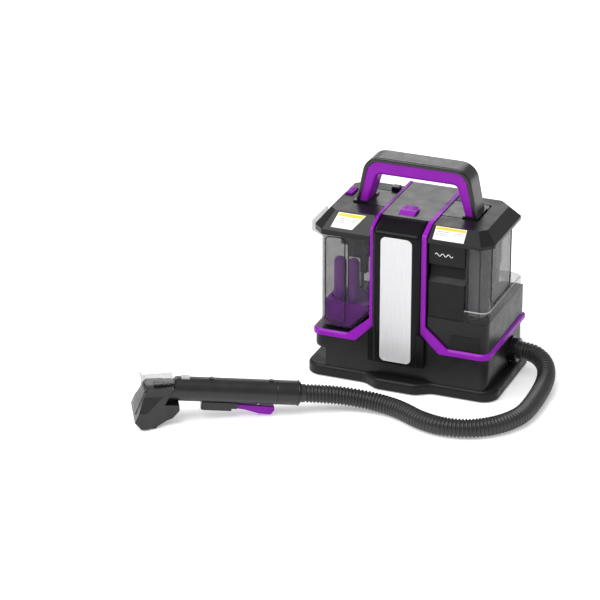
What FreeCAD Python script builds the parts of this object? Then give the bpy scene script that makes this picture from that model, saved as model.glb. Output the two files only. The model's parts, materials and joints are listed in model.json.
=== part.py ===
# Portable spot cleaner for carpets: a base with two water tanks, a centre column, a carrying
# handle, and a suction hose that ends in a spray wand. Millimetres, +Z up, front towards -Y.
# The origin is the middle of the machine's footprint, on the floor.
import FreeCAD, Part
import math
import os
import re
import Sketcher

DIMS = {
    # base
    "base_half": 147.5, "base_front": -80, "base_rear": 94, "base_top": 18, "base_bottom": 2,
    "base_corner": 24, "bulge_half": 52, "bulge_flat": 30, "bulge_front": -94, "bulge_round": 22,
    "foot_radius": 9, "foot_side": 124, "foot_front": -62, "foot_back": 76, "screw_inset": 22,
    # housing
    "body_half": 134, "body_front": -76, "body_rear": 90, "body_corner": 12, "wall": 2.5,
    "neck_side": -115, "neck_top": 44, "band_low": 67, "deck": 76, "trim_thick": 3.5,
    "wedge_out": 34, "wedge_high": 30, "strip_wide": 7, "strip_left": 4.5, "strip_end": 94,
    # column
    "column_left": -46, "column_right": 40, "column_mid": -3, "column_face": -86,
    "column_foot": 42, "column_brow": 248, "column_top": 258.5, "cover_seam": -46,
    "wing_half": 98, "wing_front": 66, "tower_rear": 88, "tower_top": 250, "wing_top": 224,
    "badge_half": 24, "badge_low": 46, "badge_high": 241.5, "badge_thick": 1.2,
    # top cover and handle
    "plate_low": 250, "plate_high": 255, "shoulder_half": 95, "shoulder_front": -16,
    "shoulder_rear": 42, "handle_front": -14, "handle_rear": 24, "handle_foot": 261,
    "handle_base_half": 93, "handle_top_half": 79, "handle_top": 330.5, "handle_round": 27,
    "rim": 6, "leg_thick": 19, "bar_thick": 26, "grip_inset": 0.8, "collar_high": 3,
    "button_x": -6, "button_y": -25, "button_half": 12, "button_top": 262.5,
    # lids
    "lid_out": 138, "lid_gap": 1.5, "lid_front": -78, "lid_rear": 76, "lid_top": 258,
    "lid_top_out": 120, "lid_top_front": -54, "lid_top_rear": 68, "recess_floor": 246.5,
    "left_lid_low": 227, "left_lid_skirt": 235, "right_lid_low": 239, "right_lid_skirt": 244,
    "lid_corner": 16,
    # tanks
    "tank_wall": 2, "tank_front": -71, "tank_rear": 62, "tank_cut": 26,
    "left_tank_out": -127, "left_tank_low": 78, "left_tank_high": 234, "right_tank_out": 131,
    "holder_high": 122, "skirt_high": 140, "right_tank_high": 243.5, "holder_front": -75,
    "holder_rear": 87, "grip_right": 97, "grip_back": -57,
    # suction port and hose
    "port_y": 38, "port_z": 38, "port_radius": 17, "port_out": 147, "hose_radius": 13.5,
    # wand: its nozzle end, heading and pitch, then sizes along its own axis
    "wand_x": -266.9, "wand_y": -294.6, "wand_z": 50, "wand_yaw": 29.6, "wand_pitch": 6.1,
    "wand_radius": 17.8, "wand_wall": 2.2, "wand_split": 152, "wand_end": 185, "wand_total": 187.3,
    "nozzle_half": 34, "gap": 0.3, "running": 0.08,
    # latch, inside pieces
    "latch_left": -123, "latch_wide": 17, "latch_front": 8, "latch_long": 24, "latch_low": 250,
    "latch_high": 262, "latch_travel": 2.5, "motor_y": 10, "motor_low": 79, "motor_high": 200,
    "motor_shell": 34, "motor_radius": 24, "fan_radius": 30, "shaft_radius": 3,
    "duct_radius": 14.5, "duct_bore": 11, "pump_x": 72, "pump_z": 36, "line_radius": 3,
    "neck_radius": 10.5, "recess_low": 177, "recess_high": 206, "screw_head": 4.2,
    "screw_head_high": 2.6, "screw_shank": 1.9,
}

doc = FreeCAD.newDocument("SpotCleaner")
sheet = doc.addObject("Spreadsheet::Sheet", "Dims")
for row, (alias, number) in enumerate(DIMS.items(), 1):
    sheet.set(f"A{row}", alias)
    sheet.set(f"B{row}", str(number))
    sheet.setAlias(f"B{row}", alias)
doc.recompute()

parts = {}


def ex(text):
    """An expression over the sheet, from words that are its aliases."""
    return re.sub(r"[a-z][a-z_]+", lambda m: "Dims." + m.group() if m.group() in DIMS else m.group(),
                  str(text))


def val(text):
    return float(sheet.evalExpression(ex(text)))


def keep(name, piece):
    piece.Label = name
    parts[name] = piece
    return piece


def place(piece, x="0", y="0", z="0", rotation=None):
    if rotation is not None:
        piece.Placement = FreeCAD.Placement(FreeCAD.Vector(), rotation)
    for axis, text in zip("xyz", (x, y, z)):
        piece.setExpression(f"Placement.Base.{axis}", ex(text))
    return piece


def new_body(name):
    return keep(name, doc.addObject("PartDesign::Body", name))


def new_sketch(body, role, offset):
    sketch = body.newObject("Sketcher::SketchObject", "Sketch")
    plane = [item for item in body.Origin.OriginFeatures if item.Role == role][0]
    sketch.AttachmentSupport = (plane, [""])
    sketch.MapMode = "FlatFace"
    sketch.setExpression("AttachmentOffset.Base.z", ex(offset))
    return sketch


def pin_point(sketch, geometry, end, x, y):
    for kind, text in (("DistanceX", x), ("DistanceY", y)):
        index = sketch.addConstraint(Sketcher.Constraint(kind, -1, 1, geometry, end, val(text)))
        sketch.setExpression(f"Constraints[{index}]", ex(text))


def outline(body, role, offset, *loops):
    """A sketch of straight-sided loops, every corner held to the sheet."""
    sketch = new_sketch(body, role, offset)
    for corners in loops:
        first = sketch.GeometryCount
        count = len(corners)
        spots = [FreeCAD.Vector(val(x), val(y), 0) for x, y in corners]
        for i in range(count):
            sketch.addGeometry(Part.LineSegment(spots[i], spots[(i + 1) % count]))
        for i in range(count):
            sketch.addConstraint(
                Sketcher.Constraint("Coincident", first + i, 2, first + (i + 1) % count, 1))
        for i, (x, y) in enumerate(corners):
            pin_point(sketch, first + i, 1, x, y)
    return sketch


def circles(body, role, offset, *rounds):
    sketch = new_sketch(body, role, offset)
    for x, y, radius in rounds:
        centre = FreeCAD.Vector(val(x), val(y), 0)
        index = sketch.addGeometry(Part.Circle(centre, FreeCAD.Vector(0, 0, 1), val(radius)))
        pin_point(sketch, index, 3, x, y)
        number = sketch.addConstraint(Sketcher.Constraint("Radius", index, val(radius)))
        sketch.setExpression(f"Constraints[{number}]", ex(radius))
    return sketch


def box_loop(x0, x1, y0, y1):
    return [(x0, y0), (x1, y0), (x1, y1), (x0, y1)]


def eight_loop(x0, x1, y0, y1, corner):
    """A box with its corners cut off."""
    return [(f"{x0} + {corner}", y0), (f"{x1} - {corner}", y0), (x1, f"{y0} + {corner}"),
            (x1, f"{y1} - {corner}"), (f"{x1} - {corner}", y1), (f"{x0} + {corner}", y1),
            (x0, f"{y1} - {corner}"), (x0, f"{y0} + {corner}")]


def settle(feature):
    """Recomputes, and stops at once if the new feature fails."""
    doc.recompute()
    if "Invalid" in feature.State or "Error" in feature.State or feature.Shape.isNull():
        raise RuntimeError(f"{feature.getParentGeoFeatureGroup().Label} {feature.Name} fails")
    return feature


def extrude(body, kind, sketch, length, back=False):
    feature = body.newObject(kind, kind.split("::")[1])
    feature.Profile = sketch
    feature.setExpression("Length", ex(length))
    feature.Reversed = back
    return settle(feature)


def pad(body, sketch, length, back=False):
    return extrude(body, "PartDesign::Pad", sketch, length, back)


def pocket(body, sketch, length, back=False):
    before = body.Shape.Volume
    feature = extrude(body, "PartDesign::Pocket", sketch, length, back)
    if body.Shape.Volume > before - 0.01:
        raise RuntimeError(f"a pocket of {body.Label} cuts nothing")
    return feature


def block(body, x0, x1, y0, y1, z0, z1):
    return pad(body, outline(body, "XY_Plane", z0, box_loop(x0, x1, y0, y1)), f"({z1}) - ({z0})")


def cut_block(body, x0, x1, y0, y1, z0, z1):
    return pocket(body, outline(body, "XY_Plane", z1, box_loop(x0, x1, y0, y1)), f"({z1}) - ({z0})")


def near(*wanted, slack=0.6):
    """A test for an edge or face whose middle is at these places; None is any place."""
    def test(item):
        middle = item.BoundBox.Center
        return all(w is None or abs(m - val(w)) < slack for m, w in zip(middle, wanted))
    return test


def upright(edge):
    return edge.BoundBox.ZLength > 1 and edge.BoundBox.XLength < 0.01 and edge.BoundBox.YLength < 0.01


def dress(body, kind, names, prop, size):
    if not names:
        raise RuntimeError(f"no edge found on {body.Label}")
    feature = body.newObject(kind, kind.split("::")[1])
    feature.Base = (body_tip(body, feature), names)
    feature.setExpression(prop, ex(size))
    return settle(feature)


def body_tip(body, newest):
    solid = [item for item in body.Group
             if item is not newest and item.isDerivedFrom("PartDesign::Feature")]
    return solid[-1]


def edge_names(body, test):
    return [f"Edge{i}" for i, edge in enumerate(body.Shape.Edges, 1) if test(edge)]


def fillet(body, test, radius):
    return dress(body, "PartDesign::Fillet", edge_names(body, test), "Radius", radius)


def chamfer(body, test, size):
    return dress(body, "PartDesign::Chamfer", edge_names(body, test), "Size", size)


def hollow(body, face_test, thick):
    faces = [f"Face{i}" for i, face in enumerate(body.Shape.Faces, 1) if face_test(face)]
    feature = body.newObject("PartDesign::Thickness", "Thickness")
    feature.Base = (body_tip(body, feature), faces)
    feature.setExpression("Value", ex(thick))
    feature.Reversed = True
    return settle(feature)


def cylinder(name, radius, length, x="0", y="0", z="0", rotation=None):
    piece = doc.addObject("Part::Cylinder", name)
    piece.setExpression("Radius", ex(radius))
    piece.setExpression("Height", ex(length))
    return place(piece, x, y, z, rotation)


def cuboid(name, x0, x1, y0, y1, z0, z1):
    piece = doc.addObject("Part::Box", name)
    for prop, low, high in (("Length", x0, x1), ("Width", y0, y1), ("Height", z0, z1)):
        piece.setExpression(prop, ex(f"({high}) - ({low})"))
    return place(piece, x0, y0, z0)


def fuse(name, *pieces):
    joined = doc.addObject("Part::MultiFuse", name)
    joined.Shapes = list(pieces)
    return joined


def cut(name, base, tool):
    piece = doc.addObject("Part::Cut", name)
    piece.Base = base
    piece.Tool = tool
    return piece


def group(name, pieces):
    together = doc.addObject("Part::Compound", name)
    together.Links = list(pieces)
    return keep(name, together)


ALONG_X = FreeCAD.Rotation(FreeCAD.Vector(0, 1, 0), 90)


# ---------------------------------------------------------------- base
# the left pair stands further in, clear of the undercut
SCREW_SPOTS = [(x, y) for x in ("neck_side + 19", "body_half - screw_inset")
               for y in ("body_front + screw_inset", "body_rear - screw_inset")]


def base_plate():
    body = new_body("base_plate")
    rim_line = [("-base_half", "base_rear"), ("-base_half", "base_front"),
                ("-bulge_half", "base_front"), ("-bulge_flat", "bulge_front"),
                ("bulge_flat", "bulge_front"), ("bulge_half", "base_front"),
                ("base_half", "base_front"), ("base_half", "base_rear")]
    pad(body, outline(body, "XY_Plane", "base_bottom", rim_line), "base_top - base_bottom")
    fillet(body, lambda e: upright(e) and abs(e.BoundBox.Center.x) > val("base_half") - 1,
           "base_corner")
    fillet(body, lambda e: upright(e) and abs(e.BoundBox.Center.x) < val("bulge_half") + 1
           and e.BoundBox.Center.y < val("base_front") + 1, "bulge_round")
    fillet(body, lambda e: e.BoundBox.ZLength < 0.01 and near(None, None, "base_top")(e), "5")
    pocket(body, circles(body, "XY_Plane", "base_bottom",
                         *[(x, y, "2.2") for x, y in SCREW_SPOTS]), "base_top", back=True)
    pocket(body, circles(body, "XY_Plane", "base_bottom",
                         *[(x, y, "4.6") for x, y in SCREW_SPOTS]), "6", back=True)


def rubber_feet():
    spots = [(f"{side}*foot_side", y) for side in (-1, 1) for y in ("foot_front", "foot_back")]
    group("rubber_feet", [cylinder("Foot", "foot_radius", "base_bottom", x, y) for x, y in spots])


def screw(x, y, z, length):
    """A pan-head screw whose head starts at z and whose shank runs on up."""
    head = cylinder("Head", "screw_head", "screw_head_high", x, y, z)
    shank = cylinder("Shank", "screw_shank", length, x, y, f"{z} + screw_head_high")
    return fuse("Screw", head, shank)


def base_screws():
    group("base_screws", [screw(x, y, "base_bottom + 3.4", "30") for x, y in SCREW_SPOTS])


# ---------------------------------------------------------------- housing
def lower_housing():
    body = new_body("lower_housing")
    block(body, "-body_half", "body_half", "body_front", "body_rear", "base_top", "deck")
    fillet(body, upright, "body_corner")
    cut_block(body, "-body_half - 1", "neck_side", "body_front - 1", "body_rear + 1",
              "base_top", "neck_top")
    fillet(body, lambda e: e.BoundBox.XMax < val("neck_side") - 0.5
           and abs(e.BoundBox.ZMax - val("neck_top")) < 0.01 and e.BoundBox.ZLength < 0.01
           and e.BoundBox.XMin < val("-body_half + 0.5"), "6")
    for side, edge in ((-1, "column_left"), (1, "column_right")):
        wedge = [(edge, "deck - 1"), (f"{edge} + {side}*(wedge_out - 3)", "deck - 1"),
                 (f"{edge} + {side}*(wedge_out - 3)", "deck"), (edge, "deck + wedge_high - 3")]
        pad(body, outline(body, "XZ_Plane", "-body_front", wedge), "wing_front - body_front - 2",
            back=True)
    inner = (("neck_side + wall", "base_top", "neck_top + wall"),
             ("-body_half + wall", "neck_top + wall", "band_low - 3"),
             ("-body_half + 6", "band_low - 3", "deck - wall"))
    for left, low, high in inner:
        inset = "6" if high.startswith("deck") else "wall"
        loop = eight_loop(left, f"body_half - {inset}", f"body_front + {inset}",
                          f"body_rear - {inset}", "8")
        pocket(body, outline(body, "XY_Plane", low, loop), f"({high}) - ({low})", back=True)
    for x, y in SCREW_SPOTS:
        pad(body, circles(body, "XY_Plane", "base_top", (x, y, "5.5")), "deck - wall - base_top + 0.5")
    pocket(body, circles(body, "XY_Plane", "base_top",
                         *[(x, y, "2") for x, y in SCREW_SPOTS]), "20", back=True)
    cut_block(body, "column_left + 8", "column_right - 8", "body_front + 14", "body_rear - 12",
              "deck - wall - 1", "deck + 1")
    pocket(body, circles(body, "YZ_Plane", "body_half + 1", ("port_y", "port_z", "15")), "20")


def tower_shell():
    body = new_body("tower_shell")

    def column(inset):
        return box_loop(f"column_left + {inset}", f"column_right - {inset}",
                        f"body_front + {inset}", f"tower_rear - {inset}")

    def wings(inset):
        return box_loop(f"-wing_half + {inset}", f"wing_half - {inset}",
                        f"wing_front + {inset}", f"tower_rear - {inset}")
    pad(body, outline(body, "XY_Plane", "deck", column("0")), "tower_top - deck")
    pad(body, outline(body, "XY_Plane", "deck", wings("0")), "wing_top - deck")
    fillet(body, lambda e: upright(e) and abs(e.BoundBox.Center.x) > val("wing_half") - 1
           and e.BoundBox.Center.y > val("wing_front") + 1, "6")
    pocket(body, outline(body, "XY_Plane", "tower_top", column("wall")), "tower_top - deck")
    pocket(body, outline(body, "XY_Plane", "deck", wings("wall")), "wing_top - wall - deck", back=True)
    # the sloping front of the top, under the cover and the strips
    brow = [("body_front - 1", "column_brow - 8.6"), ("body_front", "column_brow - 8"),
            ("cover_seam - 6", "plate_low"), ("cover_seam - 6", "plate_low + 1"),
            ("body_front - 1", "plate_low + 1")]
    pocket(body, outline(body, "YZ_Plane", "column_right + 1", brow), "column_right - column_left + 2")
    # exhaust slots through the back wall
    slots = [box_loop(f"-66 + {step}*12", f"-60 + {step}*12", "112", "150") for step in range(12)]
    pocket(body, outline(body, "XZ_Plane", "-tower_rear - 1", *slots), "wall + 2", back=True)


def column_front_cover():
    body = new_body("column_front_cover")
    left, right = "column_left + strip_left", "column_right - strip_wide"
    block(body, left, right, "column_face", "cover_seam", "column_foot", "column_top")
    fillet(body, lambda e: upright(e) and near(None, "column_face", None)(e), "8")
    above = [("column_face - 1", "column_brow - 0.4"), ("cover_seam - 6", "column_top - 1"),
             ("cover_seam + 1", "column_top"), ("cover_seam + 1", "column_top + 2"),
             ("column_face - 1", "column_top + 2")]
    pocket(body, outline(body, "YZ_Plane", f"{right} + 1", above), f"{right} - ({left}) + 2")
    fillet(body, lambda e: abs(e.BoundBox.YMin - val("column_face")) < 0.01 and e.BoundBox.XLength > 20
           and e.BoundBox.ZMin > val("column_brow - 2"), "7")
    behind = [("body_front", "column_foot - 1"), ("body_front", "column_brow - 8"),
              ("cover_seam - 6", "plate_low"), ("cover_seam + 1", "plate_low"),
              ("cover_seam + 1", "column_foot - 1")]
    pocket(body, outline(body, "YZ_Plane", f"{right} + 1", behind), f"{right} - ({left}) + 2")
    skirt = [("column_left", "column_foot"), ("column_right", "column_foot"),
             ("column_right", "strip_end - strip_wide"), ("column_right - strip_wide", "strip_end"),
             ("column_left + strip_left", "strip_end"), ("column_left", "strip_end - strip_left - 0.3")]
    pad(body, outline(body, "XZ_Plane", "-(column_face + 1)", skirt),
        "body_front - column_face - 1", back=True)
    cut_block(body, "column_left + 10", "column_right - 10", "column_face + 3", "body_front",
              "column_foot + 6", "column_brow - 12")


def badge_plate():
    body = new_body("badge_plate")
    block(body, "column_mid - badge_half", "column_mid + badge_half", "column_face - badge_thick",
          "column_face", "badge_low", "badge_high")
    fillet(body, lambda e: abs(e.BoundBox.YLength - val("badge_thick")) < 0.01
           and e.BoundBox.XLength < 0.01, "8")
    fillet(body, lambda e: near(None, "column_face - badge_thick", None)(e), "0.5")


def trim(side):
    """One purple strip: over the top, down the column's edge, out along the wedge, round the deck."""
    name = "trim_left" if side < 0 else "trim_right"
    edge = "column_left" if side < 0 else "column_right"
    wide = "strip_left" if side < 0 else "strip_wide"
    inner = f"{edge} - {side}*{wide}"
    out = f"{side}*body_half"
    body = new_body(name)
    bend = f"{edge} + {side}*22"
    face = "body_front - trim_thick"
    over = [(face, "column_brow - 12"), (face, "column_brow"), ("cover_seam - 8", "column_top"),
            ("cover_seam", "column_top + 1"), ("tower_rear", "column_top + 1"),
            ("tower_rear", "plate_high"), ("cover_seam", "plate_high"),
            ("cover_seam", "plate_low"), ("cover_seam - 6", "plate_low"),
            ("body_front", "column_brow - 8"), ("body_front", "column_brow - 12")]
    start = inner if side > 0 else edge
    pad(body, outline(body, "YZ_Plane", start, over), wide)
    fillet(body, lambda e: near(None, face, "column_brow")(e), "6")
    front = [(inner, "column_brow - 12"), (edge, "column_brow - 12"), (edge, "deck + wedge_high"),
             (f"{edge} + {side}*wedge_out", "deck"), (f"{edge} + {side}*wedge_out", "band_low"),
             (bend, "band_low"), (inner, "strip_end")]
    pad(body, outline(body, "XZ_Plane", f"-({face})", front), "trim_thick", back=True)
    ring = [(bend, face), (f"{out} + {side}*trim_thick", face),
            (f"{out} + {side}*trim_thick", "body_rear"), (out, "body_rear"), (out, "body_front"),
            (bend, "body_front")]
    pad(body, outline(body, "XY_Plane", "band_low", ring), "deck - band_low")
    fillet(body, lambda e: upright(e) and near(f"{out} + {side}*trim_thick", face, None)(e),
           "body_corner + trim_thick")
    fillet(body, lambda e: upright(e) and near(out, "body_front", None)(e), "body_corner")
    chamfer(body, lambda e: e.BoundBox.YLength > 100 and e.BoundBox.ZLength < 0.01
            and near(f"{out} + {side}*trim_thick", None, "deck")(e), "2.6")


# ---------------------------------------------------------------- top cover, handle, button
def top_cover():
    body = new_body("top_cover")
    plate = [("column_left", "cover_seam"), ("column_right", "cover_seam"),
             ("column_right", "shoulder_front"), ("shoulder_half", "shoulder_front"),
             ("shoulder_half", "shoulder_rear"), ("column_right", "shoulder_rear"),
             ("column_right", "tower_rear"), ("column_left", "tower_rear"),
             ("column_left", "shoulder_rear"), ("-shoulder_half", "shoulder_rear"),
             ("-shoulder_half", "shoulder_front"), ("column_left", "shoulder_front")]
    pad(body, outline(body, "XY_Plane", "plate_low", plate), "plate_high - plate_low")
    block(body, "column_left + strip_left", "column_right - strip_wide", "cover_seam", "tower_rear",
          "plate_high - 0.5", "column_top")
    block(body, "column_right", "shoulder_half", "shoulder_front", "shoulder_rear",
          "plate_high - 0.5", "lid_top")
    block(body, "-shoulder_half", "column_left", "shoulder_front", "shoulder_rear",
          "plate_high - 0.5", "lid_top")
    fillet(body, lambda e: upright(e) and abs(e.BoundBox.Center.x) > val("shoulder_half") - 1, "5")
    cut_block(body, "button_x - button_half - 0.6", "button_x + button_half + 0.6",
              "button_y - 13.6", "button_y + 13.6", "plate_low", "column_top")
    pocket(body, circles(body, "XY_Plane", "lid_top", *[(x, y, "2.2") for x, y in HANDLE_SCREWS]),
           "lid_top - plate_low")


HANDLE_SCREWS = [(f"{side}*(handle_base_half - 11)", y) for side in (-1, 1) for y in ("-3", "13")]


def arch(body, base_half, top_half, top, leg, bar, front, rear, outer_round, inner_round):
    """The handle's arch: slanted legs and a level bar, extruded from front to rear."""
    profile = [(f"-({base_half})", "handle_foot"), (f"-({top_half})", top), (top_half, top),
               (base_half, "handle_foot"), (f"({base_half}) - ({leg})", "handle_foot"),
               (f"({top_half}) - ({leg}) + 1", f"{top} - ({bar})"),
               (f"-(({top_half}) - ({leg}) + 1)", f"{top} - ({bar})"),
               (f"-(({base_half}) - ({leg}))", "handle_foot")]
    pad(body, outline(body, "XZ_Plane", f"-({front})", profile), f"({rear}) - ({front})", back=True)
    fillet(body, lambda e: e.BoundBox.YLength > 20 and e.BoundBox.XLength < 0.01
           and near(None, None, top)(e), outer_round)
    fillet(body, lambda e: e.BoundBox.YLength > 20 and e.BoundBox.XLength < 0.01
           and near(None, None, f"{top} - ({bar})")(e), inner_round)


def handle_shell():
    body = new_body("handle_shell")
    arch(body, "handle_base_half", "handle_top_half", "handle_top", "rim", "rim",
         "handle_front", "handle_rear", "handle_round", "handle_round - rim")
    fillet(body, lambda e: e.BoundBox.XLength > 100
           and (near(None, "handle_front", None)(e) or near(None, "handle_rear", None)(e))
           and e.BoundBox.ZMax > val("handle_top - 0.5"), "3")


def handle_grip():
    body = new_body("handle_grip")
    arch(body, "handle_base_half - rim", "handle_top_half - rim + 0.02", "(handle_top - rim)",
         "leg_thick - rim", "bar_thick - rim", "handle_front + grip_inset", "handle_rear - grip_inset",
         "handle_round - rim", "9")
    fillet(body, lambda e: (near(None, "handle_front + grip_inset", None)(e)
                            or near(None, "handle_rear - grip_inset", None)(e))
           and e.BoundBox.ZMax < val("handle_top - bar_thick + 2") and e.BoundBox.ZLength > 1
           or e.BoundBox.XLength > 80 and near(None, None, "handle_top - bar_thick")(e), "4.5")
    pocket(body, circles(body, "XY_Plane", "handle_foot", *[(x, y, "2") for x, y in HANDLE_SCREWS]),
           "9", back=True)


def handle_collars():
    pieces = []
    for side in (-1, 1):
        x0 = "-handle_base_half - 2.5" if side < 0 else "handle_base_half - leg_thick - 2"
        x1 = "-handle_base_half + leg_thick + 2" if side < 0 else "handle_base_half + 2.5"
        ring = cuboid("Collar", x0, x1, "handle_front - 2.5", "handle_rear + 2.5", "lid_top",
                      "handle_foot")
        drills = [cylinder("Drill", "2.2", "collar_high", x, y, "lid_top")
                  for x, y in HANDLE_SCREWS if x.startswith(str(side) + "*")]
        pieces.append(cut("DrilledCollar", ring, fuse("Drills", *drills)))
    group("handle_collars", pieces)


def handle_screws():
    group("handle_screws", [screw(x, y, "plate_low - screw_head_high", "18")
                            for x, y in HANDLE_SCREWS])


def power_button():
    body = new_body("power_button")
    block(body, "button_x - button_half", "button_x + button_half", "button_y - 13", "button_y + 13",
          "plate_low + 1", "button_top")
    fillet(body, upright, "4")
    wedge = [("button_y - 14", "column_top - 1"), ("button_y - 14", "button_top + 1"),
             ("button_y + 1", "button_top + 1"), ("button_y - 5", "button_top")]
    pocket(body, outline(body, "YZ_Plane", "button_x + button_half + 1", wedge), "2*button_half + 2")


def power_spring():
    body = new_body("power_spring")
    pad(body, circles(body, "XY_Plane", "plate_low - 13", ("button_x", "button_y", "4"),
                      ("button_x", "button_y", "2.8")), "14")


def control_board():
    body = new_body("control_board")
    block(body, "column_mid - 30", "column_mid + 30", "button_y - 30", "button_y + 40",
          "plate_low - 15", "plate_low - 13")
    posts = [(f"column_mid + {x}", f"button_y + {y}", "2.5") for x in (-26, 26) for y in (-6, 36)]
    pad(body, circles(body, "XY_Plane", "plate_low - 13", *posts), "13")


# ---------------------------------------------------------------- lids and tanks
def lid(side):
    name = "left_tank_lid" if side < 0 else "right_tank_lid"
    edge = "column_left - lid_gap" if side < 0 else "column_right + lid_gap"
    low, skirt = (("left_lid_low", "left_lid_skirt") if side < 0
                  else ("right_lid_low", "right_lid_skirt"))
    body = new_body(name)

    def plan(out, front, rear, corner, rear_corner, inset="0", inner=None):
        near_edge = f"{edge} + {side}*({inner or inset})"
        far = f"{side}*({out} - {inset})"
        return [(near_edge, f"{front} + {inset}"), (f"{far} - {side}*{corner}", f"{front} + {inset}"),
                (far, f"{front} + {inset} + {corner}"), (far, f"{rear} - {inset} - {rear_corner}"),
                (f"{far} - {side}*{rear_corner}", f"{rear} - {inset}"), (near_edge, f"{rear} - {inset}")]
    wide = plan("lid_out", "lid_front", "lid_rear", "lid_corner", "20")
    top = plan("lid_top_out", "lid_top_front", "lid_top_rear", "10", "16")
    pad(body, outline(body, "XY_Plane", low, wide), f"{skirt} - {low}")
    loft = body.newObject("PartDesign::AdditiveLoft", "Loft")
    loft.Profile = outline(body, "XY_Plane", skirt, wide)
    loft.Sections = [(outline(body, "XY_Plane", "lid_top", top), [""])]
    loft.Ruled = True
    settle(loft)
    spans = sorted((f"{edge} - {side}*1", f"{side}*(shoulder_half + 2)"), key=val)
    cut_block(body, spans[0], spans[1], "shoulder_front - 2", "shoulder_rear + 2", "recess_floor",
              "lid_top + 1")
    fillet(body, lambda e: e.BoundBox.ZLength > 2
           and abs(e.BoundBox.Center.x) > val("lid_top_out - 14"), "5")
    pocket(body, outline(body, "XY_Plane", low, plan("lid_out", "lid_front", "lid_rear",
                                                     "lid_corner", "20", "wall", "-1")),
           f"{skirt} - {low}", back=True)
    if side < 0:
        pocket(body, outline(body, "XY_Plane", skirt, plan("lid_out", "lid_front", "lid_rear",
                                                           "lid_corner", "20", "12")),
               f"recess_floor - wall - {skirt}", back=True)
        cut_block(body, "latch_left - 0.4", "latch_left + latch_wide + 0.4", "latch_front - 0.4",
                  "latch_front + latch_long + 0.4", "latch_low - latch_travel - 0.4", "lid_top + 1")


def left_tank():
    body = new_body("left_tank")
    face = [("left_tank_out", "left_tank_low"), ("column_left - wedge_out + 2", "left_tank_low"),
            ("column_left - 2", "left_tank_low + wedge_high + 2"),
            ("column_left - 2", "left_tank_high"), ("left_tank_out", "left_tank_high")]
    pad(body, outline(body, "XZ_Plane", "-tank_front", face), "tank_rear - tank_front", back=True)
    fillet(body, lambda e: upright(e) and near("left_tank_out", "tank_front", None)(e), "10")
    chamfer(body, lambda e: upright(e) and near("left_tank_out", "tank_rear", None)(e), "tank_cut")
    fillet(body, lambda e: upright(e) and near("column_left - 2", None, None)(e), "4")
    fillet(body, lambda e: e.BoundBox.XLength < 60 and near(None, None, "left_tank_low")(e)
           and e.BoundBox.Center.x < val("left_tank_out + 30"), "4")
    hollow(body, lambda f: abs(f.BoundBox.ZMin - val("left_tank_high")) < 0.01, "tank_wall")
    # the pouring lip stands off the wall and rises outside the lid
    lip = [("left_tank_out + 0.5", "215"), ("left_tank_out - 17", "222"),
           ("left_tank_out - 17", "239"), ("left_tank_out - 14", "239"),
           ("-lid_out - 0.6", "left_lid_low - 0.5"), ("left_tank_out + 0.5", "left_lid_low - 0.5")]
    pad(body, outline(body, "XZ_Plane", "-tank_front - 12", lip), "56", back=True)


def right_tank():
    body = new_body("right_tank")
    left = "column_right + 2.5"
    upper = [(left, "tank_front"), ("right_tank_out", "tank_front"),
             ("right_tank_out", "tank_rear - tank_cut"), ("right_tank_out - tank_cut", "tank_rear"),
             (left, "tank_rear")]
    pad(body, outline(body, "XY_Plane", "holder_high", upper), "right_tank_high - holder_high")
    fillet(body, lambda e: upright(e) and near("right_tank_out", "tank_front", None)(e), "14")
    block(body, left, "body_half", "holder_front", "wing_front - 2", "holder_high", "skirt_high")
    block(body, "wing_half + 1", "body_half", "wing_front - 14", "holder_rear", "holder_high",
          "skirt_high")
    fillet(body, lambda e: upright(e) and abs(e.BoundBox.Center.x - val("body_half")) < 0.01, "12")
    chamfer(body, lambda e: e.BoundBox.YLength > 60 and near("body_half", None, "skirt_high")(e), "2.5")
    cut_block(body, "column_right + 2", "grip_right", "holder_front - 1", "grip_back",
              "holder_high - 1", "right_tank_high + 1")
    inner = [(f"{left} + tank_wall", "grip_back + tank_wall"),
             ("grip_right + tank_wall", "grip_back + tank_wall"),
             ("grip_right + tank_wall", "tank_front + tank_wall"),
             ("right_tank_out - 13", "tank_front + tank_wall"),
             ("right_tank_out - tank_wall", "tank_front + 13"),
             ("right_tank_out - tank_wall", "tank_rear - tank_cut - 1"),
             ("right_tank_out - tank_cut - 1", "tank_rear - tank_wall"),
             (f"{left} + tank_wall", "tank_rear - tank_wall")]
    pocket(body, outline(body, "XY_Plane", "right_tank_high", inner),
           "right_tank_high - holder_high - tank_wall")


def right_tank_grip():
    """The opaque front quarter of the right tank, with the finger recess for pulling it out."""
    body = new_body("right_tank_grip")
    block(body, "column_right + 2.5", "grip_right", "tank_front - 3", "grip_back",
          "holder_high", "right_lid_low")
    recess = [("tank_front - 4", "recess_low"), ("tank_front - 4", "recess_high"),
              ("tank_front + 4", "recess_high"), ("tank_front + 7", "recess_high - 7"),
              ("tank_front + 4", "recess_low + 8")]
    pocket(body, outline(body, "YZ_Plane", "grip_right + 1", recess), "grip_right - column_right")
    fillet(body, lambda e: upright(e) and near("grip_right", "tank_front - 3", None)(e), "1.5")
    behind = box_loop("column_right + 5", "grip_right - 3", "holder_high + 3", "recess_low - 6")
    pocket(body, outline(body, "XZ_Plane", "-grip_back", behind), "9", back=True)


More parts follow.
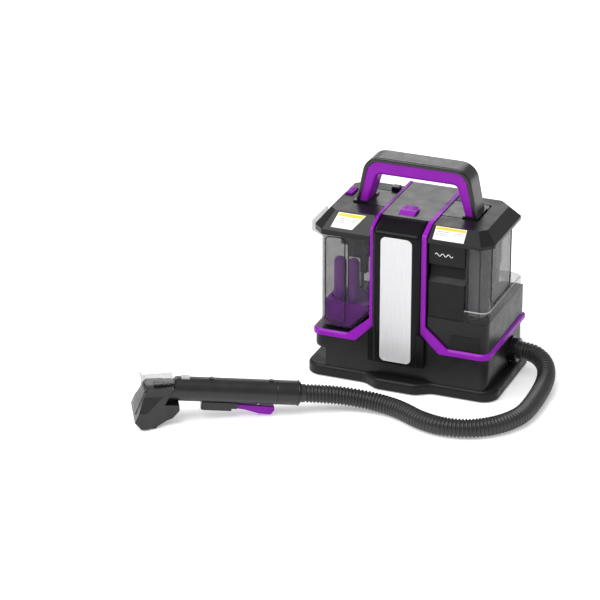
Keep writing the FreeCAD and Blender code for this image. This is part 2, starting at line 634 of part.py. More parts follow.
def right_tank_holder():
    body = new_body("right_tank_holder")
    face = [("column_right + 2.5", "holder_high"), ("body_half", "holder_high"),
            ("body_half", "deck + 0.3"), ("column_right + wedge_out + 1", "deck + 0.3"),
            ("column_right + 2.5", "deck + wedge_high - 1")]
    pad(body, outline(body, "XZ_Plane", "-holder_front", face), "wing_front - holder_front - 2",
        back=True)
    fillet(body, lambda e: upright(e) and near("body_half", None, None)(e), "10")
    hollow(body, lambda f: abs(f.BoundBox.ZMin - val("holder_high")) < 0.01, "wall")
    block(body, "wing_half + 1", "body_half", "wing_front - 14", "holder_rear", "deck + 0.3",
          "holder_high")


def holder_panel():
    """A shallow cover set on the holder's lower front corner."""
    body = new_body("holder_panel")
    block(body, "77", "body_half - 12", "holder_front - 0.8", "holder_front", "deck + 2", "99")
    fillet(body, lambda e: abs(e.BoundBox.YLength - 0.8) < 0.01 and e.BoundBox.XLength < 0.01
           and e.BoundBox.Center.z > 90 and e.BoundBox.Center.x < 80, "5")


# ---------------------------------------------------------------- inside the tanks
def gaskets():
    """Rubber rings pressed under the lids, inside the tanks' mouths."""
    left = new_body("left_gasket")
    outer = [("-124.5", "-50.5"), ("-109.5", "-65.5"), ("-60", "-65.5"), ("-60", "34"),
             ("-124.5", "34")]
    inner = [("-121.5", "-49.3"), ("-108.3", "-62.5"), ("-63", "-62.5"), ("-63", "31"),
             ("-121.5", "31")]
    pad(left, outline(left, "XY_Plane", "left_tank_high - 3", outer, inner),
        "recess_floor - wall - left_tank_high + 3")
    right = new_body("right_gasket")
    pad(right, outline(right, "XY_Plane", "right_lid_skirt - 4", box_loop("60", "128.5", "-54", "34"),
                       box_loop("63", "125.5", "-51", "31")), "4")


def left_separator():
    """The dark air and water separator under the left lid, with its spout."""
    body = new_body("left_separator")
    block(body, "-106", "-66", "-42", "10", "200", "recess_floor - wall")
    block(body, "-96", "-66", "-38", "6", "180", "200")
    pad(body, circles(body, "XY_Plane", "156", ("-73", "-30", "6.5")), "24")
    fillet(body, lambda e: upright(e) and e.BoundBox.Center.y < -36, "3")
    pocket(body, circles(body, "XY_Plane", "156", ("-73", "-30", "4.5")), "40", back=True)


def left_standpipe():
    """The purple cup in the dirty water tank and its two domed pipes."""
    body = new_body("left_standpipe")
    face = [("-121", "left_tank_low + 2"), ("-82", "left_tank_low + 2"), ("-54", "110"),
            ("-54", "118"), ("-121", "118")]
    pad(body, outline(body, "XZ_Plane", "66", face), "56", back=True)
    fillet(body, lambda e: upright(e) and e.BoundBox.Center.y < -60, "6")
    fillet(body, lambda e: upright(e) and near("-121", "-10", None)(e), "16")
    pocket(body, outline(body, "XY_Plane", "118", eight_loop("-117", "-60", "-62", "-14", "14")),
           "10")
    pad(body, circles(body, "XY_Plane", "107", ("-104", "-47", "9.2"), ("-83", "-47", "8.6")), "75")
    fillet(body, lambda e: near(None, "-47", "182")(e) and e.BoundBox.XLength > 12, "7.5")


def left_latch():
    body = new_body("left_latch")
    block(body, "latch_left", "latch_left + latch_wide", "latch_front", "latch_front + latch_long",
          "latch_low", "latch_high")
    slope = [("latch_left - 1", "latch_low + 2"), ("latch_left", "latch_low + 2"),
             ("latch_left + 7", "latch_high"), ("latch_left + 7", "latch_high + 1"),
             ("latch_left - 1", "latch_high + 1")]
    pocket(body, outline(body, "XZ_Plane", "-latch_front + 1", slope), "latch_long + 2")
    fillet(body, upright, "2")
    fillet(body, lambda e: e.BoundBox.ZLength < 0.01
           and near("latch_left + latch_wide", None, "latch_high")(e), "2")


def lid_hook():
    body = new_body("lid_hook")
    block(body, "-60", "-48", "44.5", "58", "lid_top", "lid_top + 6")
    fillet(body, lambda e: upright(e) or near(None, None, "lid_top + 6")(e), "2")


def right_filler():
    """The dark filler insert under the right lid and the pick-up tube that hangs from it."""
    body = new_body("right_filler")
    block(body, "104", "122", "-10", "18", "184", "right_lid_skirt")
    fillet(body, lambda e: upright(e) and e.BoundBox.Center.y < 0, "4")
    pad(body, circles(body, "XY_Plane", "134", ("110", "0", "3.5")), "50")
    for low in ("166", "150"):
        pad(body, circles(body, "XY_Plane", low, ("110", "0", "6.5")), "5")
    pocket(body, circles(body, "XY_Plane", "134", ("110", "0", "2")), "60", back=True)


def right_valve():
    """The check valve that stands on the clean tank's floor."""
    body = new_body("right_valve")
    z = "holder_high + tank_wall"
    pad(body, circles(body, "XY_Plane", z, ("117", "-34", "8")), "17")
    pad(body, circles(body, "XY_Plane", f"{z} + 17", ("117", "-34", "5")), "6")
    chamfer(body, lambda e: near("117", "-34", f"{z} + 23")(e), "1.5")


def tank_float():
    """A float that rises on a rib of the dirty water tank and shuts the air off when it is full."""
    body = new_body("tank_float")
    block(body, "-112", "-90", "20", "50", "left_tank_low + 6", "left_tank_low + 26")
    fillet(body, upright, "4")
    pocket(body, circles(body, "XY_Plane", "left_tank_low + 26", ("-101", "35", "3.4")), "20")
    pole = new_body("float_pole")
    pad(pole, circles(pole, "XY_Plane", "left_tank_low + 2", ("-101", "35", "3")), "144")
    pad(pole, circles(pole, "XY_Plane", "left_tank_low + 2", ("-101", "35", "7")), "4")


# ---------------------------------------------------------------- suction, motor, pump
def hose_port():
    body = new_body("hose_port")
    for x0, x1, radius in (("body_half", "body_half + 3", "port_radius + 3"),
                           ("body_half + 3", "port_out", "port_radius"),
                           ("body_half - 14", "body_half", "14.8")):
        pad(body, circles(body, "YZ_Plane", x0, ("port_y", "port_z", radius)), f"({x1}) - ({x0})")
    pocket(body, circles(body, "YZ_Plane", "port_out", ("port_y", "port_z", "duct_bore")), "40")
    fillet(body, lambda e: near("port_out", "port_y", "port_z")(e)
           and e.BoundBox.YLength > 30, "1.5")


def motor_mount():
    body = new_body("motor_mount")
    block(body, "column_left + 3", "column_right - 3", "-45", "60", "deck", "motor_low")
    pocket(body, circles(body, "XY_Plane", "motor_low", ("column_mid + 14", "port_y", "duct_bore")),
           "motor_low - deck")
    pocket(body, circles(body, "XY_Plane", "motor_low", ("column_mid", "motor_y", "12")),
           "motor_low - deck")


def motor_housing():
    body = new_body("motor_housing")
    spot = ("column_mid", "motor_y")
    pad(body, circles(body, "XY_Plane", "motor_low", (*spot, "motor_shell")), "motor_high - motor_low")
    pocket(body, circles(body, "XY_Plane", "motor_low", (*spot, "motor_shell - wall")),
           "motor_high - motor_low - wall", back=True)
    fillet(body, lambda e: near(*spot, "motor_high")(e), "4")
    vents = [box_loop(f"-24 + {step}*12", f"-19 + {step}*12", "100", "112") for step in range(4)]
    pocket(body, outline(body, "XZ_Plane", "-motor_y - motor_shell - 1", *vents), "16", back=True)


def motor():
    body = new_body("motor")
    spot = ("column_mid", "motor_y")
    pad(body, circles(body, "XY_Plane", "118", (*spot, "motor_radius")), "motor_high - wall - 118")
    pad(body, circles(body, "XY_Plane", "112", (*spot, "10")), "6")
    pocket(body, circles(body, "XY_Plane", "112", (*spot, "shaft_radius + running")), "16", back=True)


def motor_fan():
    body = new_body("motor_fan")
    spot = ("column_mid", "motor_y")
    pad(body, circles(body, "XY_Plane", "94", (*spot, "fan_radius")), "2")
    pad(body, circles(body, "XY_Plane", "84", (*spot, "7")), "10")
    pad(body, circles(body, "XY_Plane", "96", (*spot, "shaft_radius")), "28")
    blade = outline(body, "XY_Plane", "84", box_loop("column_mid + 6", "column_mid + fan_radius - 1",
                                                     "motor_y - 0.9", "motor_y + 0.9"))
    first = pad(body, blade, "10")
    ring = body.newObject("PartDesign::PolarPattern", "PolarPattern")
    ring.Originals = [first]
    sketch_axis = circles(body, "XY_Plane", "84", (*spot, "2"))
    ring.Axis = (sketch_axis, ["N_Axis"])
    ring.Angle = 360
    ring.Occurrences = 9
    settle(ring)


def pump():
    body = new_body("pump")
    pad(body, circles(body, "XZ_Plane", "40", ("pump_x", "pump_z", "13")), "50", back=True)
    pad(body, circles(body, "XZ_Plane", "-10", ("pump_x", "pump_z", "6")), "5", back=True)
    block(body, "pump_x - 12", "pump_x + 12", "-30", "0", "base_top", "pump_z - 6")


def power_inlet():
    """The cable gland low on the back."""
    body = new_body("power_inlet")
    pad(body, circles(body, "XZ_Plane", "-body_rear", ("-80", "30", "8")), "3", back=True)
    fillet(body, lambda e: near("-80", "body_rear + 3", "30")(e), "1")
    pocket(body, circles(body, "XZ_Plane", "-body_rear", ("-80", "30", "3.2")), "3", back=False)


# ---------------------------------------------------------------- tubes
def swept(name, spots, radius, bore):
    """A tube along straight runs joined by tangent arcs."""
    spots = [FreeCAD.Vector(*spot) for spot in spots]
    edges, start = [], spots[0]
    bends = []
    for before, here, after in zip(spots, spots[1:], spots[2:]):
        way_in, way_out = (here - before), (after - here)
        reach = 0.45 * min(way_in.Length, way_out.Length)
        half_turn = way_in.getAngle(way_out) / 2
        bends.append(reach / math.tan(half_turn))
        way_in.normalize()
        way_out.normalize()
        first, last = here - way_in * reach, here + way_out * reach
        inward = (way_out - way_in).normalize()
        middle = here + inward * (bends[-1] / math.cos(half_turn) - bends[-1])
        edges += [Part.LineSegment(start, first).toShape(), Part.Arc(first, middle, last).toShape()]
        start = last
    edges.append(Part.LineSegment(start, spots[-1]).toShape())
    path = Part.Wire(edges)
    heading = (spots[1] - spots[0]).normalize()

    def solid(size):
        ring = Part.Wire([Part.makeCircle(size, spots[0], heading)])
        return path.makePipeShell([ring], True, False)
    shape = solid(radius).cut(solid(bore)) if bore else solid(radius)
    ideal = math.pi * (radius ** 2 - bore ** 2) * path.Length
    if abs(shape.Volume / ideal - 1) > 0.02:
        raise RuntimeError(f"{name} is {shape.Volume} mm3 where {ideal} is expected")
    print(f"{name}: {path.Length:.1f} mm long, bend radii {[round(b) for b in bends]}")
    piece = doc.addObject("Part::Feature", name)
    piece.Shape = shape
    return keep(name, piece)


def suction_duct():
    """From behind the port across the housing, then up under the motor's air inlet."""
    y, z, turn_x = val("port_y"), val("port_z"), val("column_mid + 14")
    swept("suction_duct", [(val("body_half - 14"), y, z), (turn_x, y, z), (turn_x, y, val("deck"))],
          val("duct_radius"), val("duct_bore"))


def feed_line():
    """The water line from the pump up to the clean tank's seat."""
    swept("feed_line", [(val("pump_x"), 15, val("pump_z")), (val("pump_x"), 19, val("pump_z")),
                        (val("pump_x"), 20.5, 40), (val("pump_x"), 20.5, 70)], val("line_radius"), 1.6)


def hose_tube():
    """From the port down to the floor, round in front of the machine, and up to the wand."""
    port = (val("port_y"), val("port_z"))
    rest = val("hose_radius + 0.5")
    route = [
        (val("port_out"), *port), (165, *port), (181.5, 32, 33.5), (193.5, 21, 28),
        (200.5, 4.5, 21.5), (203.5, -17, 16.5), (205, -45, 14.2), (206.5, -82, rest),
        (204, -124, rest), (184, -163.2, rest), (151.4, -189.6, rest), (110.5, -199, rest),
        (71.5, -189.5, rest), (38, -169.5, rest), (5, -162.5, 15.5), (-27, -165, 18.5),
        (-57, -175, 23), tuple(wand_spot("wand_total + 24.5", "0", "0")),
        tuple(wand_spot("wand_total", "0", "0"))]
    swept("hose_tube", route, val("hose_radius"), val("hose_radius - 2.5"))


# ---------------------------------------------------------------- wand
def wand_turn():
    return (FreeCAD.Rotation(FreeCAD.Vector(0, 0, 1), val("wand_yaw"))
            * FreeCAD.Rotation(FreeCAD.Vector(0, 1, 0), val("wand_pitch")))


def wand_spot(x, y, z):
    """A point of the wand's own frame, in the machine's frame."""
    return (FreeCAD.Vector(val("wand_x"), val("wand_y"), val("wand_z"))
            + wand_turn().multVec(FreeCAD.Vector(val(x), val(y), val(z))))


def on_wand(piece):
    return place(piece, "wand_x", "wand_y", "wand_z", wand_turn())


def wand_pieces():
    tube = new_body("wand_tube")
    around = ("0", "0", "wand_radius")
    pad(tube, circles(tube, "YZ_Plane", "-8", around), "wand_split + 8")
    slant = [("-9", "-wand_radius - 1"), ("-8", "-wand_radius - 1"), ("8", "wand_radius + 1"),
             ("-9", "wand_radius + 1")]
    pocket(tube, outline(tube, "XZ_Plane", "wand_radius + 1", slant), "2*wand_radius + 2")
    pocket(tube, circles(tube, "YZ_Plane", "-9", ("0", "0", "wand_radius - wand_wall")),
           "wand_split + 10", back=True)
    pocket(tube, circles(tube, "XY_Plane", "0", ("57", "0", "2"), ("144", "0", "2")),
           "wand_radius + 1", back=True)
    pocket(tube, outline(tube, "XY_Plane", "0", box_loop("12.7", "25.8", "-5.3", "5.3")),
           "wand_radius + 1", back=True)
    on_wand(tube)

    sleeve = new_body("wand_sleeve")
    pad(sleeve, circles(sleeve, "YZ_Plane", "wand_split", around), "wand_end - wand_split")
    fillet(sleeve, lambda e: near("wand_split", "0", "0")(e), "1")
    pocket(sleeve, circles(sleeve, "YZ_Plane", "wand_split", ("0", "0", "wand_radius - wand_wall")),
           "wand_end - wand_split", back=True)
    on_wand(sleeve)

    collar = new_body("wand_collar")
    pad(collar, circles(collar, "YZ_Plane", "wand_end", ("0", "0", "wand_radius - 1.6")),
        "wand_total - wand_end")
    pocket(collar, circles(collar, "YZ_Plane", "wand_end", ("0", "0", "hose_radius - 2.5")),
           "wand_total - wand_end", back=True)
    fillet(collar, lambda e: near("wand_total", "0", "0")(e) and e.BoundBox.YLength > 30, "1.5")
    on_wand(collar)

    heads = []
    for x in ("57", "144"):
        head = cylinder("Head", "3.4", "1.4", x, "0", "wand_radius")
        heads.append(fuse("Screw", head, cylinder("Shank", "1.7", "9", x, "0", "wand_radius - 9")))
    on_wand(group("wand_screws", heads))

    valve = new_body("valve_block")
    block(valve, "45", "89", "-9", "9", "-wand_radius - 11", "-wand_radius + 1.4")
    fillet(valve, lambda e: upright(e) and near("45", None, None)(e), "4")
    for side in (-1, 1):
        y0, y1 = ("6.8", "9") if side > 0 else ("-9", "-6.8")
        block(valve, "88", "97", y0, y1, "-wand_radius - 7.5", "-wand_radius + 1.4")
    pocket(valve, circles(valve, "YZ_Plane", "44", ("0", "0", "wand_radius + 0.05")), "60", back=True)
    pocket(valve, circles(valve, "XZ_Plane", "10", ("93.5", "-wand_radius - 4.4", "1.5")), "20")
    on_wand(valve)

    trigger = new_body("trigger")
    face = [("90", "-wand_radius - 1.5"), ("151", "-wand_radius - 3.6"), ("152", "-wand_radius - 8"),
            ("147", "-wand_radius - 15"), ("130", "-wand_radius - 14.5"), ("109", "-wand_radius - 9"),
            ("90", "-wand_radius - 7")]
    pad(trigger, outline(trigger, "XZ_Plane", "6.4", face), "12.8", back=True)
    fillet(trigger, lambda e: e.BoundBox.YLength > 12 and e.BoundBox.Center.z < val("-wand_radius - 14"),
           "2.5")
    pocket(trigger, circles(trigger, "XZ_Plane", "7", ("93.5", "-wand_radius - 4.4", "1.8")), "14")
    on_wand(trigger)

    pin = new_body("trigger_pin")
    pad(pin, circles(pin, "XZ_Plane", "9", ("93.5", "-wand_radius - 4.4", "1.5")), "18", back=True)
    on_wand(pin)

    spring = new_body("trigger_spring")
    pad(spring, circles(spring, "XY_Plane", "-wand_radius - 2.6", ("128", "0", "3.4"),
                        ("128", "0", "2.2")), "2.55")
    on_wand(spring)

    release = new_body("nozzle_release")
    block(release, "13", "25.5", "-5", "5", "wand_radius - 1.6", "wand_radius + 2.6")
    fillet(release, lambda e: upright(e) or near(None, None, "wand_radius + 2.6")(e), "1.5")
    on_wand(release)


def nozzle_pieces():
    neck = new_body("nozzle_neck")
    bore = "wand_radius - wand_wall - gap"
    pad(neck, circles(neck, "YZ_Plane", "4", ("0", "0", bore)), "8.5")
    pad(neck, circles(neck, "YZ_Plane", "-24", ("0", "0", "neck_radius")), "28")
    pocket(neck, circles(neck, "YZ_Plane", "-24", ("0", "0", "neck_radius - 2")), "38", back=True)
    on_wand(neck)

    def level(piece):
        return place(piece, "wand_x", "wand_y", "0",
                     FreeCAD.Rotation(FreeCAD.Vector(0, 0, 1), val("wand_yaw")))
    shell = doc.addObject("PartDesign::Body", "NozzleShell")
    # the back edge runs parallel to the wand's slanted end
    face = [("2.8", "56.6"), ("-34", "57.4"), ("-38", "54"), ("-53", "20"), ("-55.5", "14"),
            ("-46", "2.5"), ("-24", "2.5"), ("0", "11"), ("10", "22"), ("10", "30.4"),
            ("-10.8", "32.2"), ("-10.8", "32.8")]
    pad(shell, outline(shell, "XZ_Plane", "nozzle_half", face), "2*nozzle_half", back=True)
    for side in (-1, 1):
        taper = [("-8", f"{side}*19"), ("11", f"{side}*19"), ("11", f"{side}*(nozzle_half + 1)"),
                 ("-40", f"{side}*(nozzle_half + 1)")]
        pocket(shell, outline(shell, "XY_Plane", "70", taper), "80")
    shoulders = [[(f"{side}*(nozzle_half + 1)", "26"), (f"{side}*21", "47"), (f"{side}*21", "70"),
                  (f"{side}*(nozzle_half + 1)", "70")] for side in (-1, 1)]
    pocket(shell, outline(shell, "YZ_Plane", "12", *shoulders), "80")
    core = [("-6", "54"), ("-33", "54.6"), ("-36", "52"), ("-51", "20"), ("-53", "14"), ("-45", "5"),
            ("-26", "5"), ("-2", "13.5"), ("5", "24"), ("5", "27"), ("-12", "29.5"), ("-14", "36")]
    pocket(shell, outline(shell, "XZ_Plane", "17", core), "34")
    cut_block(shell, "-45", "-26", "-nozzle_half + 9", "nozzle_half - 9", "1", "18")
    level(shell)
    spot = wand_spot("-26", "0", "0")
    seat = cylinder("NeckSeat", "neck_radius + 0.03", "34", *spot, wand_turn() * ALONG_X)
    keep("nozzle_body", cut("NozzleBody", shell, seat))

    cover = new_body("nozzle_cover")
    window = [("-38", "54"), ("-53", "20"), ("-54.5", "20.6"), ("-40", "56"), ("-44", "70"),
              ("-42.4", "70.6"), ("-39", "65.5"), ("3.6", "66.6"), ("3.6", "65"), ("-36.5", "63.8"),
              ("-34", "57.4")]
    pad(cover, outline(cover, "XZ_Plane", "18", window), "36", back=True)
    level(cover)

    lip = new_body("nozzle_lip")
    pad(lip, outline(lip, "XY_Plane", "0.4", box_loop("-46", "-24", "-nozzle_half + 7", "nozzle_half - 7"),
                     box_loop("-43", "-27", "-nozzle_half + 10", "nozzle_half - 10")), "2.1")
    level(lip)


def main():
    base_plate()
    rubber_feet()
    base_screws()
    lower_housing()
    tower_shell()
    column_front_cover()
    badge_plate()
    trim(-1)
    trim(1)
    top_cover()
    handle_shell()
    handle_grip()
    handle_collars()
    handle_screws()
    power_button()
    power_spring()
    control_board()
    lid(-1)
    lid(1)
    left_tank()
    right_tank()
    right_tank_grip()
    right_tank_holder()
    holder_panel()
    gaskets()
    left_separator()
    left_standpipe()
    left_latch()
    lid_hook()
    right_filler()
    right_valve()
    tank_float()
    hose_port()
    suction_duct()
    motor_mount()
    motor_housing()
    motor()
    motor_fan()
    pump()
    power_inlet()
    feed_line()
    hose_tube()
    wand_pieces()
    nozzle_pieces()
    finish()


def finish():
    doc.recompute()
    for item in doc.Objects:
        if "Invalid" in item.State or "Error" in item.State:
            raise RuntimeError(f"{item.Label}: {item.State}")
    os.makedirs("parts", exist_ok=True)
    for name, piece in parts.items():
        shape = piece.Shape
        if shape.isNull() or not shape.isValid():
            raise RuntimeError(f"{name} has no valid shape")
        shape.exportStep(f"parts/{name}.step")
        print(f"{name}: {len(shape.Solids)} solids, {shape.Volume / 1000:.1f} cm3")


main()
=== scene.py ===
# The looks of a portable carpet spot cleaner: camera and light, the ribbed hose, materials for
# every CAD node, and the small trim that the CAD model leaves out. Metres, in the CAD's frame.
import json
import math

import bmesh
import bpy
from mathutils import Matrix, Vector


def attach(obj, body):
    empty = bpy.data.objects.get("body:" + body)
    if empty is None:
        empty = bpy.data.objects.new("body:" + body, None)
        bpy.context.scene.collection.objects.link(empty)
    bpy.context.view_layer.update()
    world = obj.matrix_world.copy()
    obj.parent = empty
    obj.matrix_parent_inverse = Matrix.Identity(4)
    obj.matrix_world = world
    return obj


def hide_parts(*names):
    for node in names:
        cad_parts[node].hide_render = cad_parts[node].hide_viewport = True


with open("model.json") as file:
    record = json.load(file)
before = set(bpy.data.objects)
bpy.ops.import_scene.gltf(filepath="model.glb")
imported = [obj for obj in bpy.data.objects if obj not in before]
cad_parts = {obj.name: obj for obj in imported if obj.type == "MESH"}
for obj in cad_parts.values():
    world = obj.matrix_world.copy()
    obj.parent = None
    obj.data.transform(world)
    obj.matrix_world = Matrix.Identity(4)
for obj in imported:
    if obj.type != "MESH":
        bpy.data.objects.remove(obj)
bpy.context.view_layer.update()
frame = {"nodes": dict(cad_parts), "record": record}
nodes = frame["nodes"]


# the camera, at the front right and above: aim in metres, angles in degrees, distance in
# metres, lens and sensor in millimetres
TARGET = Vector((-0.184, -0.0064, 0.0817))
AZIMUTH, ELEVATION, DISTANCE, LENS, SENSOR = 21.9, 24.2, 4.8149, 193.56, 36
LAMP_AIM = (0, 0, 0.15)
WORLD_LIGHT = 0.5

# the hose: one rib's radii from groove to groove, and the plain cuffs at its ends
RIB_PITCH = 0.0052
RIB_PROFILE = [0.0135, 0.0136, 0.0136, 0.0135, 0.0128, 0.0120, 0.0117, 0.0117, 0.0120, 0.0128]
CUFF_RADIUS, CUFF_RINGS = 0.0134, 14

# label layers above the part, in metres
PAPER_LIFT, PRINT_LIFT = 0.0003, 0.00035

# trim: beads and finger ribs, in millimetres except for the ribs' radius
BEAD, BEAD_SIDES, RING_STEPS = 0.9, 10, 40
RIB_RADIUS, RIB_RISE = 0.0007, 0.1
TANK_FRONT, TANK_SIDE = -71.1, 131.1
SKIRT_FRONT, SKIRT_SIDE, SKIRT_ROUND, SKIRT_Z = -75.3, 133.4, 12.3, 140
CORNER_ANGLES = (0.4, 0.8, 1.2)

# noise values: the range that holds most of them; and the height of a moulded grain
NOISE_LOW, NOISE_HIGH = 0.3, 0.7
GRAIN_HEIGHT = 0.0002


# ------------------------------------------------------------------ camera and light
def look(azimuth, elevation):
    a, e = math.radians(azimuth), math.radians(elevation)
    right = Vector((math.cos(a), math.sin(a), 0))
    back = Vector((math.sin(a) * math.cos(e), -math.cos(a) * math.cos(e), math.sin(e)))
    return Matrix((right, back.cross(right), back)).transposed()


def add_camera(target, azimuth, elevation, distance, lens):
    data = bpy.data.cameras.new("Camera")
    data.lens = lens
    data.sensor_width = SENSOR
    data.clip_end = 50
    camera = bpy.data.objects.new("Camera", data)
    bpy.context.scene.collection.objects.link(camera)
    turn = look(azimuth, elevation)
    camera.matrix_world = Matrix.Translation(target + turn.col[2] * distance) @ turn.to_4x4()
    bpy.context.scene.camera = camera


def add_lamp(name, place, aim, size, power):
    data = bpy.data.lights.new(name, "AREA")
    data.shape = "RECTANGLE"
    data.size, data.size_y = size
    data.energy = power
    lamp = bpy.data.objects.new(name, data)
    bpy.context.scene.collection.objects.link(lamp)
    lamp.location = place
    lamp.rotation_euler = (Vector(aim) - Vector(place)).to_track_quat("-Z", "Y").to_euler()


add_camera(TARGET, AZIMUTH, ELEVATION, DISTANCE, LENS)
add_lamp("Back", (-0.9, 2.4, 1.5), (0, 0, 0.2), (2.4, 0.7), 12)
add_lamp("Key", (-1.9, -1.6, 1.7), LAMP_AIM, (0.5, 1.3), 15)
add_lamp("Side", (2.2, -0.5, 1.3), LAMP_AIM, (0.5, 1.3), 4)
sun = bpy.data.lights.new("Sun", "SUN")
sun.energy = 2.5
sun.angle = math.radians(50)
sun_holder = bpy.data.objects.new("Sun", sun)
bpy.context.scene.collection.objects.link(sun_holder)
sun_holder.rotation_euler = (math.radians(24), math.radians(-14), 0)

world = bpy.data.worlds.new("Studio")
world.use_nodes = True
world.node_tree.nodes["Background"].inputs["Color"].default_value = (1, 1, 1, 1)
world.node_tree.nodes["Background"].inputs["Strength"].default_value = WORLD_LIGHT
bpy.context.scene.world = world
bpy.context.scene.view_settings.view_transform = "Standard"


# ------------------------------------------------------------------ materials
def shader(name, colour, rough, metallic=0.0, alpha=1.0, specular=0.5):
    material = bpy.data.materials.new(name)
    material.use_nodes = True
    tree = material.node_tree
    bsdf = tree.nodes["Principled BSDF"]
    bsdf.inputs["Base Color"].default_value = (*colour, 1)
    bsdf.inputs["Roughness"].default_value = rough
    bsdf.inputs["Metallic"].default_value = metallic
    bsdf.inputs["Alpha"].default_value = alpha
    bsdf.inputs["Specular IOR Level"].default_value = specular
    return material, tree, bsdf


def coordinates(tree, stretch=(1, 1, 1)):
    coord = tree.nodes.new("ShaderNodeTexCoord")
    mapping = tree.nodes.new("ShaderNodeMapping")
    mapping.inputs["Scale"].default_value = stretch
    tree.links.new(coord.outputs["Object"], mapping.inputs["Vector"])
    return mapping.outputs["Vector"]


def noise(tree, vector, scale, detail=3.0):
    node = tree.nodes.new("ShaderNodeTexNoise")
    node.inputs["Scale"].default_value = scale
    node.inputs["Detail"].default_value = detail
    tree.links.new(vector, node.inputs["Vector"])
    return node.outputs["Fac"]


def spread(tree, value, low, high):
    """The value's middle range, mapped to low..high."""
    node = tree.nodes.new("ShaderNodeMapRange")
    node.inputs["From Min"].default_value = NOISE_LOW
    node.inputs["From Max"].default_value = NOISE_HIGH
    node.inputs["To Min"].default_value = low
    node.inputs["To Max"].default_value = high
    tree.links.new(value, node.inputs["Value"])
    return node.outputs["Result"]


def bump(tree, bsdf, height, strength, distance):
    node = tree.nodes.new("ShaderNodeBump")
    node.inputs["Strength"].default_value = strength
    node.inputs["Distance"].default_value = distance
    tree.links.new(height, node.inputs["Height"])
    tree.links.new(node.outputs["Normal"], bsdf.inputs["Normal"])


def tint(tree, bsdf, fac, colour, amount):
    """Colour that wanders a little lighter and darker."""
    ramp = tree.nodes.new("ShaderNodeValToRGB")
    ramp.color_ramp.elements[0].position = NOISE_LOW
    ramp.color_ramp.elements[1].position = NOISE_HIGH
    ramp.color_ramp.elements[0].color = (*[c * (1 - amount) for c in colour], 1)
    ramp.color_ramp.elements[1].color = (*[min(1, c * (1 + amount)) for c in colour], 1)
    tree.links.new(fac, ramp.inputs["Fac"])
    tree.links.new(ramp.outputs["Color"], bsdf.inputs["Base Color"])


def plastic(name, colour, rough, grain=1800.0, depth=0.12, **more):
    """Moulded plastic: spark-eroded grain, with slow changes of sheen and colour."""
    material, tree, bsdf = shader(name, colour, rough, **more)
    vector = coordinates(tree)
    tint(tree, bsdf, noise(tree, vector, 22.0), colour, 0.09)
    tree.links.new(spread(tree, noise(tree, vector, 55.0, 5.0), rough * 0.85, rough * 1.2),
                   bsdf.inputs["Roughness"])
    bump(tree, bsdf, noise(tree, vector, grain, 1.5), depth, GRAIN_HEIGHT)
    return material


def brushed(name, colour, rough, stretch):
    """Metal with fine parallel streaks."""
    material, tree, bsdf = shader(name, colour, rough, metallic=0.9)
    vector = coordinates(tree, stretch)
    streaks = noise(tree, vector, 60.0, 4.0)
    tint(tree, bsdf, streaks, colour, 0.07)
    tree.links.new(spread(tree, streaks, rough * 0.8, rough * 1.3), bsdf.inputs["Roughness"])
    bump(tree, bsdf, streaks, 0.08, GRAIN_HEIGHT)
    return material


def clear(name, colour, alpha, rough):
    """Smoky see-through plastic with a faint ripple from the mould."""
    material, tree, bsdf = shader(name, colour, rough, alpha=alpha, specular=0.4)
    vector = coordinates(tree)
    tint(tree, bsdf, noise(tree, vector, 14.0), colour, 0.12)
    tree.links.new(spread(tree, noise(tree, vector, 40.0), rough * 0.7, rough * 1.6),
                   bsdf.inputs["Roughness"])
    bump(tree, bsdf, noise(tree, vector, 30.0, 1.0), 0.05, 0.001)
    return material


DARK = plastic("dark_plastic", (0.0065, 0.0065, 0.007), 0.32, depth=0.03, specular=0.27)
BLACK = plastic("black_plastic", (0.005, 0.005, 0.0054), 0.26, grain=2400.0, depth=0.02,
                specular=0.5)
MATTE = plastic("matte_black", (0.0072, 0.0072, 0.0076), 0.42, grain=1300.0, depth=0.06,
                specular=0.2)
COVER = plastic("cover_plastic", (0.008, 0.008, 0.0085), 0.3, grain=2400.0, depth=0.02,
                specular=0.65)
COLUMN = plastic("column_plastic", (0.0045, 0.0045, 0.005), 0.24, grain=2400.0, depth=0.02,
                 specular=0.12)
GRIP = plastic("wand_plastic", (0.0085, 0.0085, 0.009), 0.34, grain=2000.0, depth=0.03)
CUP = plastic("cup_purple", (0.42, 0.012, 0.66), 0.4, grain=2200.0, depth=0.04)
GREY = plastic("grey_plastic", (0.42, 0.42, 0.43), 0.4, depth=0.05)
PURPLE = plastic("purple_plastic", (0.235, 0.0055, 0.365), 0.36, grain=2200.0, depth=0.04,
                 specular=0.2)
LILAC = plastic("lilac_plastic", (0.27, 0.055, 0.38), 0.4, grain=2200.0, depth=0.05)
SMOKE = clear("smoky_clear", (0.035, 0.035, 0.038), 0.38, 0.08)
FROST = clear("frosted_clear", (0.80, 0.80, 0.82), 0.38, 0.25)
# light grey see-through plastic for the clean tank's skirt bead: the rim is real, but its lightness
# is a painted highlight on that edge
RIM_HIGHLIGHT = clear("rim_painted_highlight", (0.55, 0.55, 0.57), 0.45, 0.1)
RUBBER = plastic("seal_rubber", (0.01, 0.01, 0.01), 0.72, grain=900.0, depth=0.2)
BADGE = brushed("badge_metal", (0.66, 0.66, 0.67), 0.45, (14, 1, 0.5))
STEEL = brushed("screw_steel", (0.6, 0.6, 0.62), 0.3, (4, 4, 0.4))
MOTOR = brushed("motor_steel", (0.42, 0.42, 0.43), 0.38, (1, 1, 8))
BOARD = plastic("board_green", (0.03, 0.16, 0.07), 0.45, grain=700.0)
HOSE = plastic("hose_plastic", (0.016, 0.016, 0.017), 0.33, grain=900.0, depth=0.06)
PAPER = plastic("label_paper", (0.80, 0.80, 0.78), 0.5, grain=3000.0, depth=0.03)
YELLOW = plastic("label_yellow", (0.80, 0.50, 0.015), 0.5, grain=3000.0, depth=0.03)
